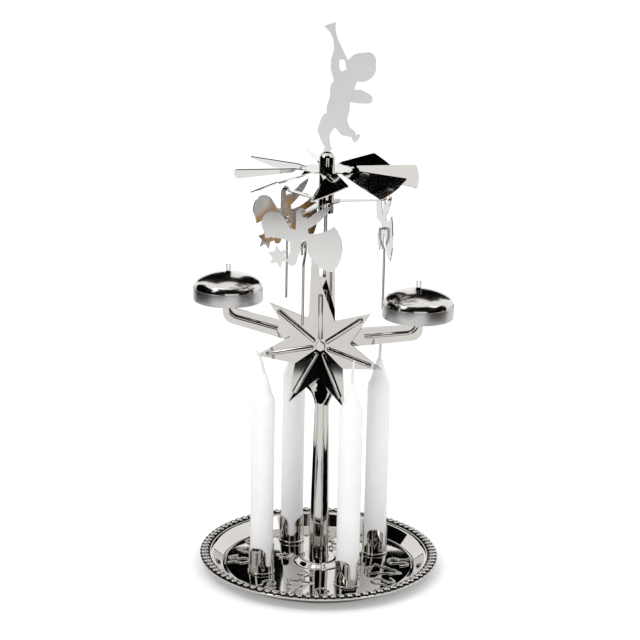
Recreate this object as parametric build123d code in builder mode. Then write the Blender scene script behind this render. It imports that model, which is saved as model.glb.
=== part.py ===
"""Angel chime carousel: a candle-driven carousel of plated sheet metal.

Four candles stand in petal cups on a round tray. A rolled column rises from the tray,
opens out into a flat mast behind a seven-pointed star, and carries two bells on side arms.
On a needle at the top turns the rotor: a bladed wheel that the warm air drives, a cherub
above it and three angels below it, whose hanging strikers pass the bells.

Millimetres. +Z is up, the star faces -Y, and the origin is the middle of the tray's foot.
"""

import os
from math import acos, asin, atan2, cos, degrees, radians, sin, sqrt

from build123d import *

os.makedirs("parts", exist_ok=True)

# Tray
tray_radius = 65.3
tray_sheet = 0.6
rim_height = 7.5
flange_width = 6.4
wall_run = 5.3
lip_drop = 0.5
foot_width = 1.4
foot_slope = 0.8
floor_height = 1.0
boss_top_radius = 10.0
boss_base_radius = 13.0
boss_height = 2.8
rim_beads = 90
bead_length = 4.6
bead_edge = 0.3
bead_width = 3.8
bead_rise = 1.2
bead_slant = 24

# Candles and their cups
candle_circle = 34.8
candle_radius = 6.25
candle_shoulder = 97.5
candle_neck_radius = 4.7
candle_neck_rise = 3.0
candle_tip = 14.0
candle_tip_radius = 1.6
wick_radius = 0.7
wick_height = 13.5
wick_depth = 4.0
wire_sides = 8
cup_clearance = 0.15
cup_sheet = 0.5
cup_height = 15.5
cup_band = 4.5
petals = 3
petal_half_angle = 41
petal_round_ratio = 1.05
cup_bead = 0.4
cup_rivet_radius = 1.5
cup_rivet_head = 2.8
cup_rivet_head_rise = 0.7
cup_rivet_tail = 2.3
rivet_clearance = 0.05

# Column and mast
mast_sheet = 0.7
column_foot_radius = 5.6
column_neck_radius = 3.8
column_neck = 93.0
seam_half_angle = 176
flare_end = 107.0
# For each step of the flare: its share of the height, its radius over the neck's, its half angle
flare_steps = ((0.25, 1.35, 118), (0.52, 2.5, 56))
mast_flat_ratio = 30
mast_root_half_width = 8.3
mast_top = 187.6
mast_top_half_width = 5.85
ear_round = 1.7
shelf_half_width = 2.05
upper_shelf = 180.0
lower_shelf = 164.0
shelf_reach = 7.0
foot_tabs = 3
foot_tab_width = 3.6
foot_tab_reach = 2.6
tab_clearance = 0.1

# Star and bell arms
star_height = 127.0
star_points = 7
star_radius = 35.5
star_notch_radius = 17.0
star_tip_rise = 4.2
star_sheet = 0.6
star_turn = -1.0
star_boss_radius = 3.4
rib_radius = 1.35
rib_sink = 0.25
rib_start = 3.0
rib_end = 28.5
star_rivet_radius = 1.5
star_rivet_head = 2.7
star_rivet_head_rise = 0.6
star_rivet_tail = 2.4
arm_sheet = 0.8
arm_slope_angle = 10.2
arm_root_lift = 3.2
arm_root_half_width = 5.4
arm_end_half_width = 3.9
arm_hub_radius = 7.5
arm_post_half_width = 2.85
arm_elbow_round = 6.5
arm_inner_round = 1.6
arm_bead_radius = 1.15
arm_bead_start = 24.0
arm_bead_reach = 4.0

# Bells
bell_spacing = 52.2
bell_radius = 18.75
bell_lift = 21.0
bell_skirt = 6.8
bell_dome = 8.0
bell_shoulder = 4.6
bell_step = 0.4
bell_wall = 0.8
bell_tab_half_width = 1.3
bell_tab_rise = 4.4
bell_prong_split = 3.4
bell_prong_half_gap = 0.3
bell_prong_spread = 0.1
bell_hole_clearance = 0.2
bell_seat_clearance = 0.12

# Needle, hub and turbine
needle_radius = 0.9
needle_point = 4.0
needle_headroom = 2.4
needle_clearance = 0.02
hub_radius = 4.05
hub_wall = 0.6
hub_gap = 11.4
hub_tail = 6.0
hub_cap = 6.6
hub_dome = 2.9
swage_rise = 0.65
swage_height = 0.8
plate_clearance = 0.05
bearing_length = 5.0
bearing_lead = 1.2
bearing_mouth = 1.75
pivot_clearance = 0.06
wheel_lift = 17.0
wheel_sheet = 0.5
wheel_radius = 48.5
wheel_disc_radius = 11.3
blades = 8
blade_pitch = 24.0
blade_tip_chord = 20.8
blade_root_chord = 7.6
blade_neck = 12.6
blade_root = 17.0
blade_lead = 2.0
blade_corner = 1.2
blade_turn = 26.0

# Carrier, angels and strikers
carrier_sheet = 0.5
carrier_ring = 7.6
carrier_turn = 25.0
carrier_root_half_width = 2.9
carrier_end_half_width = 1.7
carrier_end = 29.5
hook_half_width = 0.8
hook_past = 2.2
hook_rise = 2.4
angel_circle = 32.0
angel_length = 44.3
angel_drawn_length = 44.3
angel_sheet = 0.5
angel_hole = 1.6
angel_hang = 1.15
angel_balance = 0.58
striker_drop = 14.7
striker_hole = 1.15
striker_radius = 0.65
striker_crook = 2.6
striker_past = 2.5
crook_leg = 3.4
crook_return = 9.0
crook_round = 2.0

# Trumpet angel
finial_sheet = 0.6
finial_height = 67.6
finial_drawn_height = 67.6
finial_turn = 15.0
finial_tab_half_width = 1.8
finial_tab_depth = 2.2
finial_foot = 1.5
finial_slot_clearance = 0.05

# Levels that follow from the sizes above
floor_top = floor_height + tray_sheet
boss_top = floor_top + boss_height
cup_floor = floor_top + cup_sheet
candle_seat = cup_floor + cup_rivet_head_rise
candle_top = candle_seat + candle_shoulder + candle_tip
mast_front = -column_neck_radius
mast_back = mast_front + mast_sheet
arm_front = mast_front - arm_sheet
arm_middle = mast_front - arm_sheet / 2
star_back = arm_front
arm_root_height = star_height + arm_root_lift
bell_bottom = star_height + bell_lift
bell_crown = bell_bottom + bell_skirt + bell_dome
hub_inner = hub_radius - hub_wall
hub_bottom = mast_top + hub_gap
carrier_height = hub_bottom + hub_tail
wheel_height = carrier_height + wheel_lift
hub_shoulder = wheel_height + hub_cap
hub_top = hub_shoulder + hub_dome
needle_top = hub_shoulder - needle_headroom
hook_height = carrier_height + carrier_sheet - angel_hang
striker_height = hook_height - striker_drop
striker_length = striker_height - bell_bottom + striker_past

candle_places = {"front_left": 221.5, "front_right": 311.5, "back_right": 41.5, "back_left": 131.5}
petal_turns = {"front_left": -94, "front_right": -105, "back_right": -75, "back_left": -135}
wick_leans = {"front_left": -4.2, "front_right": 0.9, "back_right": 0.6, "back_left": -0.8}
angel_places = {"front": 240, "left": 120, "right": 0}
angel_ways = {"front": 1, "left": -1, "right": -1}


def on_circle(radius, angle, height=0):
    return (radius * cos(radians(angle)), radius * sin(radians(angle)), height)


def upright_plane(angle, origin, way=1):
    """Upright plane that faces out from the axis at an angle, or in where way is -1."""
    outward = Vector(*on_circle(way, angle))
    return Plane(origin=origin, x_dir=Vector(-outward.Y, outward.X, 0), z_dir=outward)


def limb(*joints):
    """Outline through round joints, each given as (x, y, radius)."""
    outline = Sketch()
    for start, end in zip(joints, joints[1:]):
        rounds = [Pos(x, y) * Circle(r, mode=Mode.PRIVATE) for x, y, r in (start, end)]
        outline += make_hull(rounds[0].edges() + rounds[1].edges(), mode=Mode.PRIVATE)
    return outline


# Tray: one pressed sheet, with a raised boss in the middle and a foot ring under the wall.
# The flange carries a rope of slanted beads.
foot_outer = tray_radius - flange_width - wall_run
foot_inner = foot_outer - foot_width

with BuildPart() as rim_bead:
    with BuildSketch(Plane(origin=(-bead_length / 2, 0, 0), x_dir=(0, 1, 0), z_dir=(1, 0, 0))):
        with BuildLine():
            Polyline(
                (-bead_width / 2, -tray_sheet / 2),
                (bead_width / 2, -tray_sheet / 2),
                (bead_width / 2, 0),
                (0, bead_rise),
                (-bead_width / 2, 0),
                close=True,
            )
        make_face()
    extrude(amount=bead_length)

with BuildPart() as base_tray:
    with BuildSketch(Plane.XZ):
        with BuildLine():
            Polyline(
                (0, floor_height + boss_height),
                (boss_top_radius, floor_height + boss_height),
                (boss_base_radius, floor_height),
                (foot_inner - foot_slope, floor_height),
                (foot_inner, 0),
                (foot_outer, 0),
                (foot_outer + wall_run, rim_height - tray_sheet),
                (tray_radius - tray_sheet, rim_height - tray_sheet),
                (tray_radius - tray_sheet, rim_height - tray_sheet - lip_drop),
            )
            offset(amount=tray_sheet, side=Side.LEFT, kind=Kind.INTERSECTION)
        make_face()
    revolve(axis=Axis.Z)
    for place in candle_places.values():
        with Locations(on_circle(candle_circle, place, floor_height)):
            Cylinder(cup_rivet_radius + rivet_clearance, 4 * tray_sheet, mode=Mode.SUBTRACT)
    with PolarLocations(column_foot_radius - mast_sheet / 2, foot_tabs, start_angle=-90):
        with Locations((0, 0, boss_top - tray_sheet / 2)):
            Box(
                mast_sheet + 2 * tab_clearance,
                foot_tab_width + 2 * tab_clearance,
                2 * tray_sheet,
                mode=Mode.SUBTRACT,
            )
    with PolarLocations(tray_radius - bead_edge - bead_length / 2, rim_beads):
        with Locations(Location((0, 0, rim_height), (0, 0, bead_slant))):
            add(rim_bead.part)
base_tray.part.label = "base_tray"
export_step(base_tray.part, "parts/base_tray.step")


# Candle cups: a rolled foot, a low band and three round-topped petals that grip the candle.
cup_inner = candle_radius + cup_clearance
cup_outer = cup_inner + cup_sheet


def candle_cup(place, turn):
    x, y, z = on_circle(candle_circle, place, floor_top)
    gap_bottom = cup_outer * sin(radians(180 / petals - petal_half_angle))
    gap_top = cup_outer * sin(radians(180 / petals))
    round_start = cup_height - (gap_top - gap_bottom) * petal_round_ratio
    with BuildPart() as cup:
        with BuildSketch(Plane(origin=(x, y, z))):
            Circle(cup_outer)
        extrude(amount=cup_height)
        with BuildSketch(Plane(origin=(x, y, z + cup_sheet))):
            Circle(cup_inner)
        extrude(amount=cup_height, mode=Mode.SUBTRACT)
        for petal in range(petals):
            facing = upright_plane(turn + (petal + 0.5) * 360 / petals, (x, y, z))
            with BuildSketch(facing):
                with BuildLine():
                    base = ThreePointArc(
                        (-gap_bottom, cup_band + gap_bottom),
                        (0, cup_band),
                        (gap_bottom, cup_band + gap_bottom),
                    )
                    Line(base @ 1, (gap_bottom, round_start))
                    EllipticalCenterArc(
                        (gap_top, round_start), gap_top - gap_bottom, cup_height - round_start, 90
                    )
                    EllipticalCenterArc(
                        (-gap_top, round_start), gap_top - gap_bottom, cup_height - round_start
                    )
                    Polyline(
                        (gap_top, cup_height), (gap_top, 2 * cup_height),
                        (-gap_top, 2 * cup_height), (-gap_top, cup_height),
                    )
                    Line(base @ 0, (-gap_bottom, round_start))
                make_face()
            extrude(amount=2 * cup_outer, mode=Mode.SUBTRACT)
        with BuildSketch(Plane(origin=(x, y, z), x_dir=(1, 0, 0), z_dir=(0, -1, 0))):
            with BuildLine():
                Polyline(
                    (cup_outer, 0),
                    (cup_outer + cup_bead, cup_bead / 2),
                    (cup_outer + cup_bead, cup_bead * 3 / 2),
                    (cup_outer, 2 * cup_bead),
                    close=True,
                )
            make_face()
        revolve(axis=Axis((x, y, z), (0, 0, 1)))
        with Locations((x, y, z)):
            Cylinder(cup_rivet_radius + rivet_clearance, 4 * cup_sheet, mode=Mode.SUBTRACT)
    return cup.part


for name, place in candle_places.items():
    cup_part = candle_cup(place, petal_turns[name])
    cup_part.label = f"candle_cup_{name}"
    export_step(cup_part, f"parts/{cup_part.label}.step")


# Rivets that hold the cups down: a flat head in the cup and a clenched tail under the floor.
with BuildPart() as cup_rivets:
    for place in candle_places.values():
        x, y, _ = on_circle(candle_circle, place)
        with BuildSketch(Plane(origin=(x, y, 0), x_dir=(1, 0, 0), z_dir=(0, -1, 0))):
            with BuildLine():
                Polyline(
                    (0, floor_height - cup_rivet_head_rise),
                    (cup_rivet_tail, floor_height - cup_rivet_head_rise),
                    (cup_rivet_radius, floor_height),
                    (cup_rivet_radius, cup_floor),
                    (cup_rivet_head, cup_floor),
                    (cup_rivet_head, candle_seat),
                    (0, candle_seat),
                    close=True,
                )
            make_face()
        revolve(axis=Axis((x, y, 0), (0, 0, 1)))
cup_rivets.part.label = "cup_rivets"
export_step(cup_rivets.part, "parts/cup_rivets.step")


# Candles: straight wax sticks with a conical tip, and a wick set in a bore at the tip.
def candle(place):
    x, y, z = on_circle(candle_circle, place, candle_seat)
    with BuildPart() as stick:
        with BuildSketch(Plane(origin=(x, y, z), x_dir=(1, 0, 0), z_dir=(0, -1, 0))):
            with BuildLine():
                Polyline(
                    (candle_tip_radius, candle_shoulder + candle_tip),
                    (0, candle_shoulder + candle_tip),
                    (0, 0),
                    (candle_radius, 0),
                    (candle_radius, candle_shoulder),
                    (candle_neck_radius, candle_shoulder + candle_neck_rise),
                    close=True,
                )
            make_face()
        revolve(axis=Axis((x, y, z), (0, 0, 1)))
        with BuildSketch(Plane(origin=(x, y, candle_top))):
            Circle(wick_radius + rivet_clearance)
        extrude(amount=-wick_depth, mode=Mode.SUBTRACT)
    return stick.part


def wick(place, lean):
    x, y, _ = on_circle(candle_circle, place)
    lean_x, lean_y, _ = on_circle(lean, finial_turn)
    with BuildPart() as cord:
        with BuildLine() as route:
            straight = Line((x, y, candle_top - wick_depth), (x, y, candle_top))
            leaning = (x + lean_x, y + lean_y, candle_top + wick_height)
            TangentArc(straight @ 1, leaning, tangent=(0, 0, 1))
        with BuildSketch(Plane(origin=route.line @ 0, z_dir=route.line % 0)):
            RegularPolygon(wick_radius, wire_sides)
        sweep()
    return cord.part


for name, place in candle_places.items():
    stick_part = candle(place)
    stick_part.label = f"candle_{name}"
    export_step(stick_part, f"parts/{stick_part.label}.step")
    cord_part = wick(place, wick_leans[name])
    cord_part.label = f"wick_{name}"
    export_step(cord_part, f"parts/{cord_part.label}.step")


# Column: one sheet, rolled into a tapered tube with its seam at the back. Above the neck the
# roll opens out into the flat mast, whose two tongues are bent back to hold the needle.
def rolled_section(radius, half_angle, height, front):
    """Arc of sheet around an upright axis, with its middle at y = front."""
    centre = front + radius
    ends = {}
    for layer in (radius, radius - mast_sheet):
        reach = layer * sin(radians(half_angle))
        depth = centre - layer * cos(radians(half_angle))
        ends[layer] = ((-reach, depth), (0, centre - layer), (reach, depth))
    outer, inner = ends.values()
    with BuildSketch(Plane.XY.offset(height)) as section:
        with BuildLine():
            ThreePointArc(*outer)
            Line(outer[2], inner[2])
            ThreePointArc(*inner)
            Line(inner[0], outer[0])
        make_face()
    return section.sketch


flare = flare_end - column_neck
flat_radius = mast_flat_ratio * column_neck_radius
flat_angle = degrees(asin(mast_root_half_width / flat_radius))
foot_section = rolled_section(column_foot_radius, seam_half_angle, boss_top, -column_foot_radius)
neck_section = rolled_section(column_neck_radius, seam_half_angle, column_neck, mast_front)
flare_sections = [
    rolled_section(spread * column_neck_radius, half_angle, column_neck + share * flare, mast_front)
    for share, spread, half_angle in flare_steps
]
flat_section = rolled_section(flat_radius, flat_angle, flare_end, mast_front)

with BuildPart() as column:
    loft([foot_section, neck_section], ruled=True)
    loft([neck_section, *flare_sections, flat_section])
    with BuildSketch(Plane(origin=(0, mast_front, 0), x_dir=(1, 0, 0), z_dir=(0, -1, 0))):
        with BuildLine():
            Polyline(
                (-mast_root_half_width, flare_end),
                (mast_root_half_width, flare_end),
                (mast_top_half_width, mast_top),
                (shelf_half_width, mast_top),
                (shelf_half_width, upper_shelf),
                (-shelf_half_width, upper_shelf),
                (-shelf_half_width, mast_top),
                (-mast_top_half_width, mast_top),
                close=True,
            )
        face = make_face()
        fillet(face.vertices().group_by(Axis.Y)[-1], radius=ear_round)
        with Locations((0, lower_shelf + (shelf_reach + mast_sheet) / 2)):
            Rectangle(2 * shelf_half_width, shelf_reach - mast_sheet, mode=Mode.SUBTRACT)
        with Locations((0, star_height)):
            Circle(star_rivet_radius + rivet_clearance, mode=Mode.SUBTRACT)
    extrude(amount=-mast_sheet)
    for shelf in (upper_shelf, lower_shelf):
        with BuildSketch(Plane.XY.offset(shelf)):
            with Locations((0, mast_front + shelf_reach / 2)):
                Rectangle(2 * shelf_half_width, shelf_reach)
            Circle(needle_radius + needle_clearance, mode=Mode.SUBTRACT)
        extrude(amount=mast_sheet)
    for tab in range(foot_tabs):
        tab_angle = -90 + tab * 360 / foot_tabs
        tab_inner = column_foot_radius - mast_sheet
        tab_bottom = boss_top - tray_sheet - mast_sheet
        tab_side = Plane(
            origin=(0, 0, 0),
            x_dir=on_circle(1, tab_angle),
            z_dir=on_circle(1, tab_angle - 90),
        )
        with BuildSketch(tab_side):
            with BuildLine():
                Polyline(
                    (tab_inner, boss_top + mast_sheet),
                    (tab_inner, tab_bottom),
                    (tab_inner + foot_tab_reach + mast_sheet, tab_bottom),
                    (tab_inner + foot_tab_reach + mast_sheet, tab_bottom + mast_sheet),
                    (column_foot_radius, tab_bottom + mast_sheet),
                    (column_foot_radius, boss_top),
                    close=True,
                )
            make_face()
        extrude(amount=foot_tab_width / 2, both=True)
column.part.label = "column"
export_step(column.part, "parts/column.step")


# Bell arms: one flat blank behind the star. Each arm rises outwards and turns up into a post,
# with a bead pressed along it and a forked tab that passes through the bell's crown.
arm_slope = sin(radians(arm_slope_angle)) / cos(radians(arm_slope_angle))
post_outer = bell_spacing + arm_post_half_width
post_inner = bell_spacing - arm_post_half_width
dome_reach = bell_radius - bell_step
shoulder_centre = dome_reach - bell_shoulder
shoulder_rise = bell_dome - bell_shoulder
crown_drop = (shoulder_centre**2 - shoulder_rise**2) / (2 * shoulder_rise)
crown_radius = bell_dome + crown_drop
crown_angle = degrees(atan2(crown_drop, shoulder_centre))
crown_centre = bell_skirt - crown_drop
post_shoulder = (
    bell_bottom
    + crown_centre
    + sqrt((crown_radius - bell_wall) ** 2 - arm_post_half_width**2)
    - bell_seat_clearance
)
tab_top = bell_crown + bell_tab_rise
arm_plane = Plane(origin=(0, mast_front, 0), x_dir=(1, 0, 0), z_dir=(0, -1, 0))
arm_end_height = arm_root_height + bell_spacing * arm_slope

with BuildPart() as bell_arms:
    with BuildSketch(arm_plane):
        with BuildLine():
            Polyline(
                (0, arm_root_height - arm_root_half_width),
                (post_outer, arm_end_height - arm_end_half_width),
                (post_outer, post_shoulder),
                (bell_spacing + bell_tab_half_width, post_shoulder),
                (bell_spacing + bell_tab_half_width, tab_top - bell_prong_split),
                (bell_spacing + bell_tab_half_width + bell_prong_spread, tab_top),
                (bell_spacing + bell_prong_half_gap + bell_prong_spread, tab_top),
                (bell_spacing + bell_prong_half_gap, tab_top - bell_prong_split),
                (bell_spacing - bell_prong_half_gap, tab_top - bell_prong_split),
                (bell_spacing - bell_prong_half_gap - bell_prong_spread, tab_top),
                (bell_spacing - bell_tab_half_width - bell_prong_spread, tab_top),
                (bell_spacing - bell_tab_half_width, tab_top - bell_prong_split),
                (bell_spacing - bell_tab_half_width, post_shoulder),
                (post_inner, post_shoulder),
                (post_inner, arm_end_height + arm_end_half_width),
                (0, arm_root_height + arm_root_half_width),
                close=True,
            )
        corners = make_face().vertices()
        elbow = (post_outer, arm_end_height - arm_end_half_width)
        crotch = (post_inner, arm_end_height + arm_end_half_width)
        fillet(corners.sort_by_distance(elbow)[0], radius=arm_elbow_round)
        fillet(corners.sort_by_distance(crotch)[0], radius=arm_inner_round)
        mirror(about=Plane.YZ)
        with Locations((0, star_height)):
            Circle(arm_hub_radius)
            Circle(star_rivet_radius + rivet_clearance, mode=Mode.SUBTRACT)
    extrude(amount=arm_sheet)
    for side in (-1, 1):
        bead_plane = Plane(origin=(0, arm_front, 0), x_dir=(side, 0, 0), z_dir=(0, -side, 0))
        with BuildLine(bead_plane) as bead_line:
            FilletPolyline(
                (arm_bead_start, arm_root_height + arm_bead_start * arm_slope),
                (bell_spacing, arm_end_height),
                (bell_spacing, bell_bottom + arm_bead_reach),
                radius=arm_elbow_round,
            )
        with BuildSketch(Plane(origin=bead_line.line @ 0, z_dir=bead_line.line % 0)):
            Circle(arm_bead_radius)
        sweep()
    with BuildSketch(arm_plane):
        with Locations((0, arm_end_height)):
            Rectangle(4 * bell_spacing, 4 * bell_spacing)
    extrude(amount=-2 * arm_bead_radius, mode=Mode.SUBTRACT)
bell_arms.part.label = "bell_arms"
export_step(bell_arms.part, "parts/bell_arms.step")


# Star: seven points, each folded along its middle and stiffened by a half-round rib.
def star_point(radius, angle, rise):
    x, z, _ = on_circle(radius, angle)
    return Vector(x, star_back - rise, star_height + z)


with BuildPart() as star:
    notch_rise = star_tip_rise * star_notch_radius / star_radius
    for point in range(star_points):
        rib_angle = 90 + star_turn + point * 360 / star_points
        tip = star_point(star_radius, rib_angle, star_tip_rise)
        for side in (-1, 1):
            notch = star_point(star_notch_radius, rib_angle + side * 180 / star_points, notch_rise)
            facet = Face(Wire.make_polygon([star_point(0, 0, 0), tip, notch], close=True))
            extrude(facet, amount=star_sheet, dir=(0, -1, 0))
    boss_rise = star_sheet + star_tip_rise * star_boss_radius / star_radius
    with BuildSketch(Plane(origin=(0, star_back, star_height), x_dir=(1, 0, 0), z_dir=(0, -1, 0))):
        Circle(star_boss_radius)
    extrude(amount=boss_rise)
    for point in range(star_points):
        rib_angle = 90 + star_turn + point * 360 / star_points
        slope = star_tip_rise / star_radius
        rib_base = star_sheet - rib_sink
        start = star_point(rib_start, rib_angle, rib_base + slope * rib_start)
        end = star_point(rib_end, rib_angle, rib_base + slope * rib_end)
        across = Vector(-sin(radians(rib_angle)), 0, cos(radians(rib_angle)))
        along = (end - start).normalized()
        with BuildSketch(Plane(origin=start, x_dir=across, z_dir=along)):
            Circle(rib_radius)
            with Locations((0, -rib_radius if across.cross(along).Y > 0 else rib_radius)):
                Rectangle(2 * rib_radius, 2 * rib_radius, mode=Mode.SUBTRACT)
        extrude(amount=(end - start).length)
        front = along.cross(across)
        front = front if front.Y < 0 else -front
        with Locations(Plane(origin=end, x_dir=across, z_dir=front).location):
            Sphere(rib_radius, arc_size1=0, align=(Align.CENTER, Align.CENTER, Align.MIN))
    with Locations(Location((0, star_back, star_height), (90, 0, 0))):
        Cylinder(star_rivet_radius + rivet_clearance, 4 * boss_rise, mode=Mode.SUBTRACT)
star.part.label = "star"
export_step(star.part, "parts/star.step")


# Rivet through star, arms and mast, with a flat head in the middle of the star.
with BuildPart() as star_rivet:
    head_back = star_back - boss_rise
    with BuildSketch(Plane(origin=(0, mast_back, star_height), x_dir=(1, 0, 0), z_dir=(0, -1, 0))):
        Circle(star_rivet_radius)
    extrude(amount=mast_back - head_back)
    with BuildSketch(Plane(origin=(0, head_back, star_height), x_dir=(1, 0, 0), z_dir=(0, -1, 0))):
        Circle(star_rivet_head)
    extrude(amount=star_rivet_head_rise)
    chamfer(star_rivet.faces().sort_by(Axis.Y)[0].edges(), length=star_rivet_head_rise / 2)
    with BuildSketch(Plane(origin=(0, mast_back, star_height), x_dir=(1, 0, 0), z_dir=(0, 1, 0))):
        Circle(star_rivet_tail)
    extrude(amount=star_rivet_head_rise)
star_rivet.part.label = "star_rivet"
export_step(star_rivet.part, "parts/star_rivet.step")


# Bells: spun shells with a straight skirt and a low dome, loose on the tabs of the arms.
bell_hole = sqrt(bell_tab_half_width**2 + (arm_sheet / 2) ** 2) + bell_hole_clearance
for name, side in {"bell_left": -1, "bell_right": 1}.items():
    bell_axis = Axis((side * bell_spacing, arm_middle, bell_bottom), (0, 0, 1))
    with BuildPart() as bell:
        with BuildSketch(Plane(origin=bell_axis.position, x_dir=(1, 0, 0), z_dir=(0, -1, 0))):
            with BuildLine():
                for inset in (0, bell_wall):
                    CenterArc((shoulder_centre, bell_skirt), bell_shoulder - inset, 0, crown_angle)
                    CenterArc((0, crown_centre), crown_radius - inset, crown_angle, 90 - crown_angle)
                Line((0, bell_skirt + bell_dome), (0, bell_skirt + bell_dome - bell_wall))
                Polyline(
                    (dome_reach, bell_skirt),
                    (bell_radius, bell_skirt),
                    (bell_radius, 0),
                    (bell_radius - bell_wall, 0),
                    (bell_radius - bell_wall, bell_skirt - bell_wall),
                    (dome_reach - bell_wall, bell_skirt - bell_wall),
                    (dome_reach - bell_wall, bell_skirt),
                )
            make_face()
        revolve(axis=bell_axis)
        with Locations((side * bell_spacing, arm_middle, bell_crown)):
            Cylinder(bell_hole, 4 * bell_wall, mode=Mode.SUBTRACT)
    bell.part.label = name
    export_step(bell.part, f"parts/{name}.step")


# Needle: a steel pin through both mast tongues, pointed at the top to carry the rotor.
with BuildPart() as needle:
    with BuildSketch(Plane.XZ):
        with BuildLine():
            Polyline(
                (0, lower_shelf - mast_sheet / 2),
                (needle_radius, lower_shelf - mast_sheet / 2),
                (needle_radius, needle_top - needle_point),
                (0, needle_top),
                close=True,
            )
        make_face()
    revolve(axis=Axis.Z)
needle.part.label = "needle"
export_step(needle.part, "parts/needle.step")


# Hub: a drawn tube closed by a dome, with swaged rings that carry the wheel and the angels,
# and a slot in the dome for the foot of the trumpet angel.
finial_plane = Plane(
    origin=(0, 0, hub_top),
    x_dir=on_circle(1, finial_turn),
    z_dir=on_circle(1, finial_turn - 90),
)
dome_radius = (hub_radius**2 + hub_dome**2) / (2 * hub_dome)
dome_centre = hub_top - dome_radius
outer_spring = degrees(acos(hub_radius / dome_radius))
inner_spring = degrees(acos(hub_inner / (dome_radius - hub_wall)))
with BuildPart() as hub_tube:
    with BuildSketch(Plane.XZ):
        with BuildLine():
            outer = CenterArc((0, dome_centre), dome_radius, outer_spring, 90 - outer_spring)
            inner = CenterArc((0, dome_centre), dome_radius - hub_wall, inner_spring, 90 - inner_spring)
            Line(outer @ 1, inner @ 1)
            Polyline(outer @ 0, (hub_radius, hub_bottom), (hub_inner, hub_bottom), inner @ 0)
        make_face()
    revolve(axis=Axis.Z)
    for plate in (wheel_height, carrier_height):
        with BuildSketch(Plane.XY.offset(plate)):
            Circle(hub_radius + swage_rise)
            Circle(hub_inner + hub_wall / 2, mode=Mode.SUBTRACT)
        extrude(amount=-swage_height)
    with BuildSketch(finial_plane):
        Rectangle(2 * (finial_tab_half_width + finial_slot_clearance), 4 * hub_wall)
    extrude(amount=finial_sheet / 2 + finial_slot_clearance, both=True, mode=Mode.SUBTRACT)
hub_tube.part.label = "hub_tube"
export_step(hub_tube.part, "parts/hub_tube.step")


# Pivot bearing: a hard plug pressed into the hub, with a conical seat for the needle's point.
bearing_top = needle_top + bearing_lead
with BuildPart() as pivot_bearing:
    with BuildSketch(Plane.XZ):
        with BuildLine():
            Polyline(
                (0, needle_top + pivot_clearance),
                (bearing_mouth, bearing_top - bearing_length),
                (hub_inner - needle_clearance, bearing_top - bearing_length),
                (hub_inner - needle_clearance, bearing_top),
                (0, bearing_top),
                close=True,
            )
        make_face()
    revolve(axis=Axis.Z)
pivot_bearing.part.label = "pivot_bearing"
export_step(pivot_bearing.part, "parts/pivot_bearing.step")


# Turbine wheel: a slit disc whose sectors are twisted down at their necks into pitched blades.
pitch = radians(blade_pitch)
tip_start = -blade_lead
tip_end = blade_tip_chord - blade_lead
tip_middle = (tip_start + tip_end) / 2
root_end = blade_root_chord - blade_lead
wheel_top = wheel_height + wheel_sheet

with BuildPart() as turbine_wheel:
    with BuildSketch(Plane.XY.offset(wheel_height)):
        Circle(wheel_disc_radius)
        with PolarLocations(0, blades, start_angle=blade_turn):
            with Locations((blade_neck / 2, (blade_lead - root_end) / 2)):
                Rectangle(blade_neck, blade_root_chord)
        Circle(hub_radius + plate_clearance, mode=Mode.SUBTRACT)
    extrude(amount=wheel_sheet)
    for blade in range(blades):
        outward = Vector(*on_circle(1, blade_turn + blade * 360 / blades))
        clockwise = Vector(outward.Y, -outward.X, 0)
        chord_way = clockwise * cos(pitch) - Vector(0, 0, sin(pitch))
        axis_start = Vector(0, 0, wheel_top)
        flat_root = Plane(origin=axis_start + outward * blade_neck, x_dir=clockwise, z_dir=outward)
        twisted_root = Plane(origin=axis_start + outward * blade_root, x_dir=chord_way, z_dir=outward)
        for root in (flat_root, twisted_root):
            with BuildSketch(root):
                with Locations(((root_end - blade_lead) / 2, wheel_sheet / 2)):
                    Rectangle(blade_root_chord, wheel_sheet)
        loft(ruled=True)
        blade_plane = Plane(origin=axis_start, x_dir=outward, z_dir=outward.cross(chord_way))
        with BuildSketch(blade_plane):
            with BuildLine():
                tip = ThreePointArc(
                    (sqrt(wheel_radius**2 - tip_start**2), tip_start),
                    (sqrt(wheel_radius**2 - tip_middle**2), tip_middle),
                    (sqrt(wheel_radius**2 - tip_end**2), tip_end),
                )
                Polyline(tip @ 1, (blade_root, root_end), (blade_root, tip_start), tip @ 0)
            outline = make_face()
            fillet(outline.vertices().sort_by(Axis.X)[-2:], radius=blade_corner)
        extrude(amount=wheel_sheet)
turbine_wheel.part.label = "turbine_wheel"
export_step(turbine_wheel.part, "parts/turbine_wheel.step")


# Angel carrier: a ring with three tapered arms, each ending in a narrow hook turned up.
with BuildPart() as angel_carrier:
    with BuildSketch(Plane.XY.offset(carrier_height)):
        Circle(carrier_ring)
        for place in angel_places.values():
            with BuildLine(Plane.XY.rotated((0, 0, place + carrier_turn))):
                Polyline(
                    (0, -carrier_root_half_width),
                    (carrier_end, -carrier_end_half_width),
                    (carrier_end + carrier_end_half_width, -hook_half_width),
                    (angel_circle + hook_past, -hook_half_width),
                    (angel_circle + hook_past, hook_half_width),
                    (carrier_end + carrier_end_half_width, hook_half_width),
                    (carrier_end, carrier_end_half_width),
                    (0, carrier_root_half_width),
                    close=True,
                )
            make_face()
        Circle(hub_radius + plate_clearance, mode=Mode.SUBTRACT)
    extrude(amount=carrier_sheet)
    for place in angel_places.values():
        hook_end = on_circle(angel_circle + hook_past, place + carrier_turn, carrier_height)
        with BuildSketch(upright_plane(place + carrier_turn, hook_end)):
            with Locations((0, hook_rise / 2)):
                Rectangle(2 * hook_half_width, hook_rise)
        extrude(amount=-carrier_sheet)
angel_carrier.part.label = "angel_carrier"
export_step(angel_carrier.part, "parts/angel_carrier.step")


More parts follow.
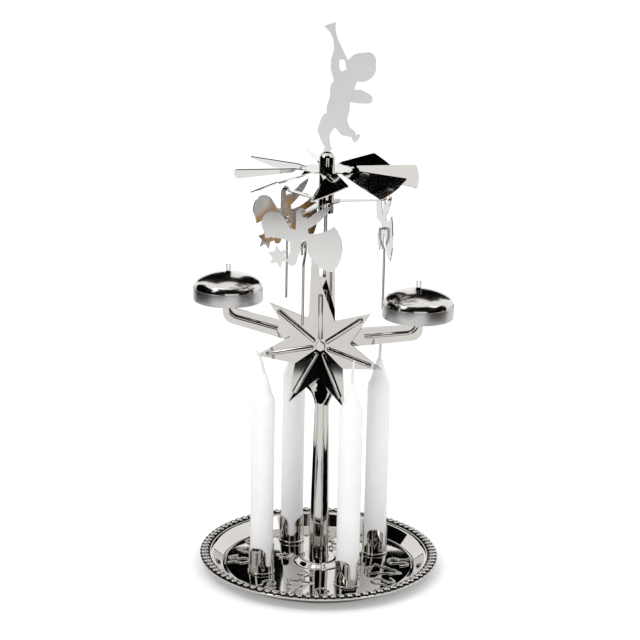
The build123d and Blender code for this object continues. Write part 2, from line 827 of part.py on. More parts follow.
# Flying angels: flat blanks that hang by a hole in the front wing. In each blank x runs from
# head to hem, and the hole lies straight above the blank's centre of mass.
def flying_angel(hook, angle, way):
    hung = upright_plane(angle, hook, way)
    blank = Plane(hung.from_local_coords((-angel_balance, 0)), hung.x_dir, hung.z_dir)
    with BuildPart() as angel:
        with BuildSketch(blank):
            add(limb((-16.1, -6.6, 6.8), (-8.5, -11.0, 3.2), (0.5, -13.5, 4.2)))
            with BuildLine():
                Polyline((-22.0, -9.5), (-20.6, -14.6), (-14.0, -12.6), close=True)
            make_face()
            add(limb((-1.0, 0.2, 2.9), (-0.6, -9.0, 3.4)))
            with BuildLine():
                Spline((0.6, -2.6), (6.5, 1.4), (14.6, 5.6), tangents=[(1, 0.3), (1, 0.4)])
                Spline((14.6, 5.6), (9.6, -2.0), (-0.3, -9.0), tangents=[(-0.3, -1), (-1, -0.5)])
                Line((-0.3, -9.0), (0.6, -2.6))
            make_face()
            with BuildLine():
                Spline((-1.0, -9.2), (8.4, -9.2), (16.8, -4.6), tangents=[(1, -0.2), (1, 0.9)])
                ThreePointArc((16.8, -4.6), (21.4, -16.0), (16.6, -28.6))
                Spline((16.6, -28.6), (7.8, -25.6), (2.4, -18.6), tangents=[(-1, -0.1), (-0.4, 1)])
                Line((2.4, -18.6), (-1.0, -9.2))
            make_face()
            add(limb((-3.4, -14.0, 3.6), (-4.4, -20.0, 2.5), (-6.0, -25.4, 2.3)))
            star_tips = []
            for tip in range(6):
                star_tips.append(on_circle(6.1, 42 + tip * 60)[:2])
                star_tips.append(on_circle(3.2, 72 + tip * 60)[:2])
            with Locations((-13.4, -23.6)):
                Polygon(*star_tips, align=None)
            scale(by=angel_length / angel_drawn_length)
            with Locations((angel_balance, 0)):
                Circle(angel_hole, mode=Mode.SUBTRACT)
            with Locations((angel_balance, -striker_drop)):
                Circle(striker_hole, mode=Mode.SUBTRACT)
        extrude(amount=angel_sheet / 2, both=True)
    return angel.part


# Strikers: wire rods whose crook passes through the angel's lower hole.
def striker(place):
    hole = on_circle(angel_circle, place, striker_height)
    side_plane = Plane(origin=hole, x_dir=on_circle(1, place), z_dir=on_circle(1, place - 90))
    with BuildPart() as rod:
        with BuildLine(side_plane) as wire:
            Line((striker_crook, -striker_crook - crook_leg), (striker_crook, -striker_crook))
            ThreePointArc((striker_crook, -striker_crook), (0, 0), (-striker_crook, -striker_crook))
            FilletPolyline(
                (-striker_crook, -striker_crook),
                (-striker_crook, -striker_crook - crook_leg),
                (0, -crook_return - striker_crook),
                (0, -striker_length),
                radius=crook_round,
            )
        with BuildSketch(Plane(origin=wire.line @ 0, z_dir=wire.line % 0)):
            RegularPolygon(striker_radius, wire_sides)
        sweep()
    return rod.part


for name, place in angel_places.items():
    turned = place + carrier_turn
    hook = on_circle(angel_circle, turned, hook_height)
    angel_part = flying_angel(hook, turned, angel_ways[name])
    angel_part.label = f"flying_angel_{name}"
    export_step(angel_part, f"parts/{angel_part.label}.step")
    rod_part = striker(turned)
    rod_part.label = f"striker_{name}"
    export_step(rod_part, f"parts/{rod_part.label}.step")


# Trumpet angel: a flat blank of a running cherub with a raised trumpet. Its foot tab sits in
# the slot of the hub's dome.
with BuildPart() as trumpet_angel:
    with BuildSketch(finial_plane):
        with BuildLine():
            Spline((-2.9, 65.2), (1.5, 59.6), (2.3, 54.0), tangents=[(1, -0.8), (0, -1)])
            Polyline((2.3, 54.0), (7.0, 46.5), (9.8, 47.6), (4.8, 57.7))
            Spline((4.8, 57.7), (3.2, 62.6), (2.9, 67.4), tangents=[(-0.5, 1), (0, 1)])
            Line((2.9, 67.4), (-2.9, 65.2))
        make_face()
        add(limb((4.4, 53.0, 2.0), (3.1, 47.6, 2.2), (3.1, 43.6, 2.2), (5.0, 38.8, 2.6), (12.0, 40.2, 3.6)))
        with Locations((16.8, 44.4)):
            Circle(7.5)
        with Locations((19.6, 47.6)):
            Circle(4.7)
        add(limb((10.4, 46.4, 2.0), (13.0, 44.0, 4.0)))
        add(limb((11.8, 39.0, 3.4), (6.8, 32.8, 6.0), (6.2, 28.6, 5.2), (5.2, 22.8, 6.0), (4.8, 17.6, 5.2)))
        add(limb((9.6, 29.8, 3.2), (16.0, 29.2, 3.5), (20.6, 28.0, 2.4)))
        add(limb((0.6, 16.0, 4.3), (-1.7, 11.4, 3.5), (-1.4, 7.4, 2.4), (0.2, 2.6, 1.5)))
        add(limb((6.4, 15.8, 3.8), (8.8, 11.4, 2.9), (13.0, 9.6, 1.7)))
        add(limb((13.2, 9.4, 1.3), (14.4, 6.6, 1.3), (16.2, 8.6, 0.8)))
        add(limb((0.2, 2.0, 1.4), (1.6, 1.7, 0.8)))
        with Locations((7.0, 45.3)):
            Ellipse(1.6, 3.1, mode=Mode.SUBTRACT)
        scale(by=finial_height / finial_drawn_height)
        with Locations((0, (finial_foot - finial_tab_depth) / 2)):
            Rectangle(2 * finial_tab_half_width, finial_foot + finial_tab_depth)
    extrude(amount=finial_sheet / 2, both=True)
trumpet_angel.part.label = "trumpet_angel"
export_step(trumpet_angel.part, "parts/trumpet_angel.step")
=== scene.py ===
"""Looks of an angel chime carousel of bright plated sheet.

Sizes are written in millimetres and multiplied by MM. The file follows the order in which the
carousel is put together: tray, cups, candles, column, arms, star, bells, rotor, angels.
"""

from math import cos, pi, radians, sin

import bmesh
import bpy
from mathutils import Matrix, Vector


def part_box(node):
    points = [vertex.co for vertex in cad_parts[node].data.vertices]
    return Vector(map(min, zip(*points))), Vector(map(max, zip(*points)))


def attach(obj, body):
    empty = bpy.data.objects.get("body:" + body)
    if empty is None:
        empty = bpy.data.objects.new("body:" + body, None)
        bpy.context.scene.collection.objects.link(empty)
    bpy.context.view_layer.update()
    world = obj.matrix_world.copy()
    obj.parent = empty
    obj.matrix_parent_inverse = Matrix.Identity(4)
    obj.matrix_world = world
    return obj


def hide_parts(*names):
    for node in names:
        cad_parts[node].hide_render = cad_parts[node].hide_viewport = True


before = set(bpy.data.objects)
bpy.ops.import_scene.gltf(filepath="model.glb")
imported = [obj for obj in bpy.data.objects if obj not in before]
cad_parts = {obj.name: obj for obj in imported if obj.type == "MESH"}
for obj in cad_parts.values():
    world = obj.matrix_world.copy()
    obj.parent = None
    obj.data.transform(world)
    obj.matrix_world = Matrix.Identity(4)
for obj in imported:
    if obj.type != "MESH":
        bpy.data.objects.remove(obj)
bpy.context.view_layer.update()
MM = 0.001


# Tray: one round sheet, pressed with a sloped wall, a foot ring and a raised boss, then plated.
# The flange is knurled with a rope of slanted beads.
def linear(code):
    """Colour of an sRGB hex value as linear numbers."""
    parts = [int(code[i:i + 2], 16) / 255 for i in (1, 3, 5)]
    return [c / 12.92 if c <= 0.04045 else ((c + 0.055) / 1.055) ** 2.4 for c in parts] + [1.0]


def add_node(owner, kind, settings=None, links=None):
    """A node with its settings, and with links into it from other nodes' outputs."""
    node = owner.node_tree.nodes.new(kind)
    for key, value in (settings or {}).items():
        if isinstance(key, str) and hasattr(node, key):
            setattr(node, key, value)
        else:
            node.inputs[key].default_value = value
    for key, output in (links or {}).items():
        owner.node_tree.links.new(output, node.inputs[key])
    return node


def new_material(name):
    """A material with its shader, and the place on the object for its patterns."""
    material = bpy.data.materials.new(name)
    material.use_nodes = True
    shader = material.node_tree.nodes["Principled BSDF"]
    place = add_node(material, "ShaderNodeTexCoord").outputs["Object"]
    return material, shader, place


# Bright nickel plating on pressed sheet: a mirror that is a little warm, with faint waves of
# the sheet about 14 mm long and patches of fine rubbing, 18 mm wide, that blur it here and there.
def nickel_plate(name, wave, dull, tones):
    material, shader, place = new_material(name)
    haze = add_node(
        material, "ShaderNodeTexNoise", {"Scale": 1 / (18 * MM), "Detail": 3.0}, {"Vector": place}
    )
    tone = add_node(material, "ShaderNodeValToRGB", None, {"Fac": haze.outputs["Fac"]})
    tone.color_ramp.elements[0].position = 0.3
    tone.color_ramp.elements[0].color = linear(tones[0])
    tone.color_ramp.elements[1].position = 0.7
    tone.color_ramp.elements[1].color = linear(tones[1])
    rough = add_node(
        material, "ShaderNodeMapRange",
        {"From Min": 0.3, "From Max": 0.75, "To Min": dull, "To Max": dull + 0.03},
        {"Value": haze.outputs["Fac"]},
    )
    sheet_wave = add_node(
        material, "ShaderNodeTexNoise", {"Scale": 1 / (14 * MM), "Detail": 0.0}, {"Vector": place}
    )
    bump = add_node(
        material, "ShaderNodeBump", {"Strength": 1.0, "Distance": wave * MM},
        {"Height": sheet_wave.outputs["Fac"]},
    )
    links = material.node_tree.links
    links.new(tone.outputs["Color"], shader.inputs["Base Color"])
    links.new(rough.outputs["Result"], shader.inputs["Roughness"])
    links.new(bump.outputs["Normal"], shader.inputs["Normal"])
    shader.inputs["Metallic"].default_value = 1.0
    return material


# Knurled plating with painted shade: its colour goes by height, bright on the beads' crowns and
# painted near-black in the grooves and on the flange between them, for the dark that the beads mirror there.
def knurled_plate_painted_shade(groove_level, crown_level):
    material, shader, place = new_material("knurled_nickel_painted_shade")
    height = add_node(material, "ShaderNodeSeparateXYZ", None, {"Vector": place})
    crown = add_node(
        material, "ShaderNodeMapRange", {"From Min": groove_level * MM, "From Max": crown_level * MM},
        {"Value": height.outputs["Z"]},
    )
    tone = add_node(material, "ShaderNodeValToRGB", None, {"Fac": crown.outputs["Result"]})
    # Painted shade: near-black below the grooves' level, the bright plate's colour above the crowns' level.
    tone.color_ramp.elements[0].color = linear("#26241f")
    tone.color_ramp.elements[1].color = linear("#cecbc7")
    rough = add_node(
        material, "ShaderNodeMapRange", {"To Min": 0.4, "To Max": 0.05}, {"Value": crown.outputs["Result"]}
    )
    links = material.node_tree.links
    links.new(tone.outputs["Color"], shader.inputs["Base Color"])
    links.new(rough.outputs["Result"], shader.inputs["Roughness"])
    shader.inputs["Metallic"].default_value = 1.0
    return material


def piece_of(name, bm, material, sharp=radians(35)):
    """A finished piece from a bmesh, shaded smooth up to the given angle."""
    mesh = bpy.data.meshes.new(name)
    bm.to_mesh(mesh)
    bm.free()
    mesh.shade_smooth()
    mesh.set_sharp_from_angle(angle=sharp)
    mesh.materials.append(material)
    piece = bpy.data.objects.new(name, mesh)
    bpy.context.scene.collection.objects.link(piece)
    return piece


def stand_for(piece, body, slot, *nodes):
    """Fixes a piece to its body and puts it in the place of the solids named. The slot, for its finish, is
    not used.
    """
    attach(piece, body)
    if nodes:
        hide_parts(*nodes)


def spun(bm, axis, steps):
    """Spins all that a bmesh holds once round an upright axis, and closes the seam and the poles."""
    bmesh.ops.spin(
        bm, geom=bm.edges[:] + bm.verts[:], cent=axis, axis=(0, 0, 1), angle=2 * pi, steps=steps,
        use_merge=True,
    )
    bmesh.ops.remove_doubles(bm, verts=bm.verts, dist=0.001 * MM)
    bmesh.ops.recalc_face_normals(bm, faces=bm.faces)


def turned(profile, rounds, axis, steps):
    """A turned shell from a profile of (radius, height), with a (radius, segments) at each inner corner."""
    bm = bmesh.new()
    points = [bm.verts.new((axis[0] + r * MM, axis[1], axis[2] + z * MM)) for r, z in profile]
    for start, end in zip(points, points[1:]):
        bm.edges.new((start, end))
    for point, (radius, segments) in zip(points[1:-1], rounds):
        if radius:
            bmesh.ops.bevel(
                bm, geom=[point], offset=radius * MM, affect="VERTICES", segments=segments, profile=0.5,
                material=-1,
            )
    spun(bm, axis, steps)
    return bm


mirror_plate = nickel_plate("bright_nickel_plate", 0.012, 0.03, ("#c8c5c0", "#cecbc7"))
knurled = knurled_plate_painted_shade(7.9, 8.4)
flange_top = 7.5
knurl_start = 60.1
tray_profile = [
    (0, 4.4), (10.0, 4.4), (13.0, 1.6), (51.2, 1.6), (52.0, 0.6), (53.4, 0.6), (58.7, flange_top),
    (knurl_start, flange_top), (65.0, flange_top), (65.3, 7.2), (65.3, 6.4), (64.7, 6.4), (64.7, 6.9),
    (59.0, 6.9), (53.6, 0), (52.2, 0), (51.4, 1.0), (13.2, 1.0), (10.2, 3.8), (0, 3.8),
]
tray_rounds = [
    (1.2, 5), (1.2, 5), (0.35, 4), (0.3, 3), (0.5, 4), (1.2, 6), (0, 0), (0.2, 3), (0, 0), (0, 0), (0, 0),
    (0.3, 2), (0.8, 4), (0.3, 3), (0.3, 3), (0.3, 3), (0.8, 4), (0.8, 4),
]
tray_mesh = turned(tray_profile, tray_rounds, Vector((0, 0, 0)), 180)
# The flange's top, outside the knurl's start, takes the knurled plate and with it the painted groove shade.
for face in tray_mesh.faces:
    middle = face.calc_center_median()
    if middle.to_2d().length > knurl_start * MM and middle.z > (flange_top - 0.1) * MM:
        face.material_index = 1
tray = piece_of("tray_sheet", tray_mesh, mirror_plate)
tray.data.materials.append(knurled)
stand_for(tray, "stand", "plated_steel", "base_tray")

bead_count = 90
bead_circle = 62.9
bead_level = 7.35
bead_slant = radians(24)
bead_half_sizes = Vector((2.6, 1.9, 1.6))
bead_mesh = bmesh.new()
for bead in range(bead_count):
    made = bmesh.ops.create_uvsphere(bead_mesh, u_segments=12, v_segments=8, radius=1.0)
    shape = (
        Matrix.Rotation(bead * 2 * pi / bead_count, 4, "Z")
        @ Matrix.Translation((bead_circle * MM, 0, bead_level * MM))
        @ Matrix.Rotation(bead_slant, 4, "Z")
        @ Matrix.Diagonal((*(bead_half_sizes * MM), 1))
    )
    bmesh.ops.transform(bead_mesh, matrix=shape, verts=made["verts"])
beads = piece_of("rim_beads", bead_mesh, knurled)
stand_for(beads, "stand", "plated_steel")


# Ornament on the tray's floor: plain raised lines pressed up from below, in four like groups
# of a fir tree, two ribbons and a star between the cups.
def raised_lines(name, strokes, half_width, material):
    """Round lines through points in mm; each stroke says if it is closed and if it is smooth."""
    curve = bpy.data.curves.new(name, "CURVE")
    curve.dimensions = "3D"
    curve.bevel_depth = half_width * MM
    curve.bevel_resolution = 3
    curve.resolution_u = 6
    curve.use_fill_caps = True
    for points, closed, smooth in strokes:
        spline = curve.splines.new("NURBS" if smooth else "POLY")
        spline.points.add(len(points) - 1)
        for point, (x, y, z) in zip(spline.points, points):
            point.co = (x * MM, y * MM, z * MM, 1)
        spline.use_cyclic_u = closed
        if smooth:
            spline.order_u = 3
            spline.use_endpoint_u = not closed
    drawn = bpy.data.objects.new(name, curve)
    bpy.context.scene.collection.objects.link(drawn)
    bpy.context.view_layer.update()
    shown = drawn.evaluated_get(bpy.context.evaluated_depsgraph_get())
    mesh = bpy.data.meshes.new_from_object(shown)
    bpy.data.objects.remove(drawn)
    mesh.name = name
    mesh.shade_smooth()
    mesh.materials.clear()
    mesh.materials.append(material)
    piece = bpy.data.objects.new(name, mesh)
    bpy.context.scene.collection.objects.link(piece)
    return piece


floor_level = 1.6
line_half_width = 0.75
fir = [(0, 9.5), (3.6, 4.2), (1.9, 4.4), (5.6, -1.4), (3.0, -1.1), (7.4, -7.6), (1.3, -7.6), (1.3, -10.4)]
fir = fir + [(-x, y) for x, y in reversed(fir) if x]
ribbon = [
    (9, 3), (12, 7.5), (15.4, 5.6), (13.6, 1.4), (10.6, -2.4), (14.6, -6.4), (19.4, -3.0), (17.0, 1.6),
    (20.6, 5.0),
]
small_star = []
for corner in range(10):
    reach = 4.4 if corner % 2 == 0 else 1.9
    small_star.append((reach * sin(corner * pi / 5), reach * cos(corner * pi / 5)))
strokes = []
for facing in (266.5, 356.5, 86.5, 176.5):
    out = Vector((cos(radians(facing)), sin(radians(facing))))
    side = Vector((-out.y, out.x))
    for outline, reach, closed, smooth in (
        (fir, 38, True, False),
        (ribbon, 41, False, True),
        ([(-x, y) for x, y in ribbon], 41, False, True),
        (small_star, 20, True, False),
    ):
        placed = [side * x + out * (reach + y) for x, y in outline]
        strokes.append(([(p.x, p.y, floor_level) for p in placed], closed, smooth))
ornament = raised_lines("floor_ornament", strokes, line_half_width, mirror_plate)
stand_for(ornament, "stand", "plated_steel")


# Candle cups: thin rolled sheet with a beaded foot and three springy petals, riveted to the tray.
# The rolled petals mirror the candles and the tray in smooth upright streaks.
def smooth_copy(name, node, material, press=None, sharp=radians(30)):
    """A copy of a solid, pressed to shape if need be, whose flat faces stay flat in reflections."""
    bm = bmesh.new()
    bm.from_mesh(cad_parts[node].data)
    bmesh.ops.remove_doubles(bm, verts=bm.verts, dist=0.002 * MM)
    if press:
        press(bm)
    piece = piece_of(name, bm, material, sharp)
    mesh = piece.data
    around = [[] for _ in mesh.vertices]
    for face in mesh.polygons:
        for vertex in face.vertices:
            around[vertex].append(face)
    normals = []
    for face in mesh.polygons:
        for vertex in face.vertices:
            near = [other for other in around[vertex] if face.normal.dot(other.normal) > cos(sharp)]
            normals.append(sum((other.normal * other.area for other in near), Vector()).normalized())
    mesh.normals_split_custom_set(normals)
    return piece


thin_plate = nickel_plate("thin_nickel_plate", 0.006, 0.05, ("#cac7c3", "#d0cdc9"))
corners = ("front_left", "front_right", "back_right", "back_left")
foot_bead_radius = 0.6
foot_bead_circle = 6.75
foot_bead_level = 0.65
for corner in corners:
    node = f"candle_cup_{corner}"
    cup = smooth_copy(f"petal_cup_{corner}", node, thin_plate)
    stand_for(cup, "stand", "plated_steel", node)
    low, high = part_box(node)
    middle = (low + high) / 2
    start = Vector((middle.x + foot_bead_circle * MM, middle.y, low.z + foot_bead_level * MM))
    ring = bmesh.new()
    bmesh.ops.create_circle(
        ring, segments=12, radius=foot_bead_radius * MM,
        matrix=Matrix.Translation(start) @ Matrix.Rotation(pi / 2, 4, "X"),
    )
    spun(ring, (middle.x, middle.y, 0), 48)
    bead = piece_of(f"cup_bead_{corner}", ring, thin_plate)
    stand_for(bead, "stand", "plated_steel")


# Steel wire and rivets: drawn, then plated with the rest, a little duller than the sheet.
# The die's marks run along the wire, here 0.5 mm apart, coarser than real ones so that they show.
def drawn_steel():
    material, shader, place = new_material("plated_steel_wire")
    stretched = add_node(material, "ShaderNodeMapping", {"Scale": (1.0, 1.0, 0.12)}, {"Vector": place})
    lines = add_node(
        material, "ShaderNodeTexNoise", {"Scale": 1 / (0.5 * MM), "Detail": 2.0},
        {"Vector": stretched.outputs["Vector"]},
    )
    tone = add_node(material, "ShaderNodeValToRGB", None, {"Fac": lines.outputs["Fac"]})
    tone.color_ramp.elements[0].color = linear("#b4b1ac")
    tone.color_ramp.elements[1].color = linear("#d2cfca")
    rough = add_node(
        material, "ShaderNodeMapRange", {"To Min": 0.12, "To Max": 0.26}, {"Value": lines.outputs["Fac"]}
    )
    material.node_tree.links.new(tone.outputs["Color"], shader.inputs["Base Color"])
    material.node_tree.links.new(rough.outputs["Result"], shader.inputs["Roughness"])
    shader.inputs["Metallic"].default_value = 1.0
    return material


def dress(node, material):
    """Gives a solid that stays as it is the material of its piece."""
    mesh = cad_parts[node].data
    mesh.materials.clear()
    mesh.materials.append(material)


wire_steel = drawn_steel()
dress("cup_rivets", wire_steel)
dress("star_rivet", thin_plate)


# Candles: drawn white paraffin, satin from handling and slightly see-through at the tip.
# Each stands loose in its cup, with a braided cotton wick that was dipped in the wax.
def white_paraffin():
    material, shader, place = new_material("white_paraffin_wax")
    cloud = add_node(
        material, "ShaderNodeTexNoise", {"Scale": 1 / (9 * MM), "Detail": 4.0}, {"Vector": place}
    )
    tone = add_node(material, "ShaderNodeValToRGB", None, {"Fac": cloud.outputs["Fac"]})
    tone.color_ramp.elements[0].position = 0.3
    tone.color_ramp.elements[0].color = linear("#f6f5f5")
    tone.color_ramp.elements[1].position = 0.7
    tone.color_ramp.elements[1].color = linear("#fbfafa")
    rough = add_node(
        material, "ShaderNodeMapRange", {"To Min": 0.34, "To Max": 0.5}, {"Value": cloud.outputs["Fac"]}
    )
    grain = add_node(
        material, "ShaderNodeTexNoise", {"Scale": 1 / (2.5 * MM), "Detail": 2.0}, {"Vector": place}
    )
    bump = add_node(
        material, "ShaderNodeBump", {"Strength": 0.3, "Distance": 0.05 * MM},
        {"Height": grain.outputs["Fac"]},
    )
    links = material.node_tree.links
    links.new(tone.outputs["Color"], shader.inputs["Base Color"])
    links.new(rough.outputs["Result"], shader.inputs["Roughness"])
    links.new(bump.outputs["Normal"], shader.inputs["Normal"])
    shader.inputs["IOR"].default_value = 1.44
    shader.inputs["Subsurface Weight"].default_value = 0.35
    shader.inputs["Subsurface Radius"].default_value = (1.0, 0.9, 0.8)
    shader.inputs["Subsurface Scale"].default_value = 2.0 * MM
    return material


# Waxed cotton: matt, off-white and uneven, with fibres drawn 0.6 mm wide, coarse enough to show.
def waxed_cotton():
    material, shader, place = new_material("waxed_cotton_wick")
    fibre = add_node(
        material, "ShaderNodeTexNoise", {"Scale": 1 / (0.6 * MM), "Detail": 3.0}, {"Vector": place}
    )
    tone = add_node(material, "ShaderNodeValToRGB", None, {"Fac": fibre.outputs["Fac"]})
    tone.color_ramp.elements[0].color = linear("#dcdbdb")
    tone.color_ramp.elements[1].color = linear("#f6f5f4")
    bump = add_node(
        material, "ShaderNodeBump", {"Strength": 0.5, "Distance": 0.1 * MM},
        {"Height": fibre.outputs["Fac"]},
    )
    links = material.node_tree.links
    links.new(tone.outputs["Color"], shader.inputs["Base Color"])
    links.new(bump.outputs["Normal"], shader.inputs["Normal"])
    shader.inputs["Roughness"].default_value = 0.7
    return material


paraffin = white_paraffin()
cotton = waxed_cotton()
candle_profile = [(0, 0), (6.25, 0), (6.25, 97.5), (4.7, 100.5), (1.6, 111.5), (0, 111.9)]
candle_rounds = [(0.8, 4), (1.2, 6), (1.2, 5), (0.7, 5)]
wick_root = 110.5
wick_length = 14.0
wick_radius = 1.0
wick_steps = 22
twist_per_step = radians(16)
lean_direction = radians(15)
wick_lean = {"front_left": -4.2, "front_right": 0.9, "back_right": 0.6, "back_left": -0.8}
for corner in corners:
    node = f"candle_{corner}"
    low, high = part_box(node)
    foot = Vector(((low.x + high.x) / 2, (low.y + high.y) / 2, low.z))
    stick_mesh = turned(candle_profile, candle_rounds, foot, 64)
    stick = piece_of(f"wax_stick_{corner}", stick_mesh, paraffin, radians(60))
    stand_for(stick, f"{corner}_candle", "wax", node)
    braid = bmesh.new()
    root = foot + Vector((0, 0, wick_root * MM))
    bmesh.ops.create_circle(
        braid, segments=12, radius=wick_radius * MM, matrix=Matrix.Translation(root)
    )
    for lobe, vert in enumerate(braid.verts):
        vert.co -= (vert.co - root) * (0.28 if lobe % 4 == 0 else 0.06)
    edges = braid.edges[:]
    for step in range(1, wick_steps + 1):
        grown = bmesh.ops.extrude_edge_only(braid, edges=edges)["geom"]
        verts = [item for item in grown if isinstance(item, bmesh.types.BMVert)]
        edges = [item for item in grown if isinstance(item, bmesh.types.BMEdge)]
        middle = sum((v.co for v in verts), Vector()) / len(verts)
        twist = Matrix.Rotation(twist_per_step, 3, "Z")
        bmesh.ops.rotate(braid, verts=verts, cent=middle, matrix=twist)
        bend = (2 * step - 1) * wick_lean[corner] / wick_steps**2
        growth = Vector((bend * cos(lean_direction), bend * sin(lean_direction), wick_length / wick_steps))
        bmesh.ops.translate(braid, verts=verts, vec=growth * MM)
        shrink = 0.985 if step < wick_steps - 2 else 0.8
        middle = sum((v.co for v in verts), Vector()) / len(verts)
        bmesh.ops.scale(
            braid, verts=verts, vec=(shrink, shrink, 1), space=Matrix.Translation(-middle)
        )
    bmesh.ops.contextual_create(braid, geom=edges)
    bmesh.ops.recalc_face_normals(braid, faces=braid.faces)
    wick = piece_of(f"cotton_wick_{corner}", braid, cotton, radians(80))
    stand_for(wick, f"{corner}_candle", "cotton", f"wick_{corner}")


# Column: one sheet rolled into a tapered tube, opened out above the neck into the flat mast, with
# a spoon-shaped hollow pressed into its front. Its foot tabs are bent over under the tray's boss.
hollow_bottom = 94
hollow_deepest = 109
hollow_top = 116
hollow_slope = 0.3
hollow_sides = ((hollow_bottom, 0.6), (95.5, 2.5), (98.5, 4.2), (103, 5.9), (108, 6.6), (hollow_top, 6.6))
hollow_grid = 0.5
front_wall = -0.5


def hollow_depth(across, height):
    """How deep the hollow is at a point of the column's front, in mm."""
    for (low, narrow), (high, wide) in zip(hollow_sides, hollow_sides[1:]):
        if low < height <= high and height < hollow_top:
            side = across / (narrow + (wide - narrow) * (height - low) / (high - low))
            depth = hollow_slope * (height - hollow_bottom)
            if height > hollow_deepest:
                depth *= 0.5 + 0.5 * cos(pi * (height - hollow_deepest) / (hollow_top - hollow_deepest))
            return depth * (1 - side**2) if abs(side) < 1 else 0
    return 0


def press_hollow(bm):
    """Cuts the front of the neck into a fine grid, and presses the hollow into it."""
    front = [
        face for face in bm.faces
        if face.calc_center_median().y < front_wall * MM
        and min(v.co.z for v in face.verts) < hollow_top * MM
        and max(v.co.z for v in face.verts) > hollow_bottom * MM
    ]
    edges = list(dict.fromkeys(edge for face in front for edge in face.edges))
    verts = list(dict.fromkeys(vert for face in front for vert in face.verts))
    wall = front + edges + verts
    for step in range(-14, 15):
        cut = (step * hollow_grid * MM, 0, 0)
        wall = bmesh.ops.bisect_plane(bm, geom=wall, plane_co=cut, plane_no=(1, 0, 0))["geom"]
    for step in range(int((hollow_top - hollow_bottom) / hollow_grid) + 1):
        cut = (0, 0, (hollow_bottom + step * hollow_grid) * MM)
        wall = bmesh.ops.bisect_plane(bm, geom=wall, plane_co=cut, plane_no=(0, 0, 1))["geom"]
    for vert in wall:
        if isinstance(vert, bmesh.types.BMVert) and vert.co.y <= front_wall * MM:
            vert.co.y += hollow_depth(vert.co.x / MM, vert.co.z / MM) * MM
    bmesh.ops.triangulate(bm, faces=[item for item in wall if isinstance(item, bmesh.types.BMFace)])


column = smooth_copy("rolled_column", "column", mirror_plate, press_hollow)
stand_for(column, "stand", "plated_steel", "column")


# Bell arms: a flat blank between star and mast, stiffened by a pressed bead along each arm.
# The star's rivet holds it, and its forked ends are bent up to carry the bells.
arms = smooth_copy("pressed_bell_arms", "bell_arms", mirror_plate)
stand_for(arms, "stand", "plated_steel", "bell_arms")


# Star: pressed sheet, dished so that its seven points lean forward, with a round-ended rib along
# each point. One rivet through its middle holds it to the arms and the mast.
star_points = 7
star_radius = 35.5
notch_radius = 17.0
star_sheet = 0.6
dish = 4.2 / star_radius
first_point = radians(89)
star_centre = Vector((0, -4.6, 127))


def star_at(radius, angle, lift):
    """A point in front of the star's back by a lift and by what the dish adds at its radius."""
    return (star_centre + Vector((radius * cos(angle), -lift - radius * dish, radius * sin(angle)))) * MM


star_mesh = bmesh.new()
bmesh.ops.create_circle(star_mesh, cap_ends=True, cap_tris=True, segments=2 * star_points, radius=star_radius)
rim = [vert for vert in star_mesh.verts if vert.is_boundary]
hub = [vert for vert in star_mesh.verts if not vert.is_boundary]
for corner, vert in enumerate(rim):
    radius = star_radius if corner % 2 == 0 else notch_radius
    vert.co = star_at(radius, first_point + corner * pi / star_points, star_sheet)
hub[0].co = star_at(0, 0, star_sheet)
bmesh.ops.recalc_face_normals(star_mesh, faces=star_mesh.faces)
grown = bmesh.ops.extrude_face_region(star_mesh, geom=star_mesh.faces[:])["geom"]
back = [item for item in grown if isinstance(item, bmesh.types.BMVert)]
bmesh.ops.translate(star_mesh, verts=back, vec=(0, star_sheet * MM, 0))
bmesh.ops.recalc_face_normals(star_mesh, faces=star_mesh.faces)
star = piece_of("folded_star", star_mesh, mirror_plate, radians(1))
stand_for(star, "stand", "plated_steel", "star")

rib_radius = 1.35
rib_lift = 0.5
rib_start = 5.0
rib_end = 28.5
rib_mesh = bmesh.new()
for point in range(star_points):
    angle = first_point + point * 2 * pi / star_points
    start = star_at(rib_start, angle, rib_lift)
    along = star_at(rib_end, angle, rib_lift) - start
    turn = along.to_track_quat("Z", "Y").to_matrix().to_4x4()
    made = bmesh.ops.create_uvsphere(
        rib_mesh, u_segments=24, v_segments=16, radius=rib_radius * MM,
        matrix=Matrix.Translation(start) @ turn,
    )
    far = [v for v in made["verts"] if (v.co - start).dot(along) > 1e-9]
    bmesh.ops.translate(rib_mesh, verts=far, vec=along)
ribs = piece_of("star_ribs", rib_mesh, mirror_plate, radians(80))
stand_for(ribs, "stand", "plated_steel")


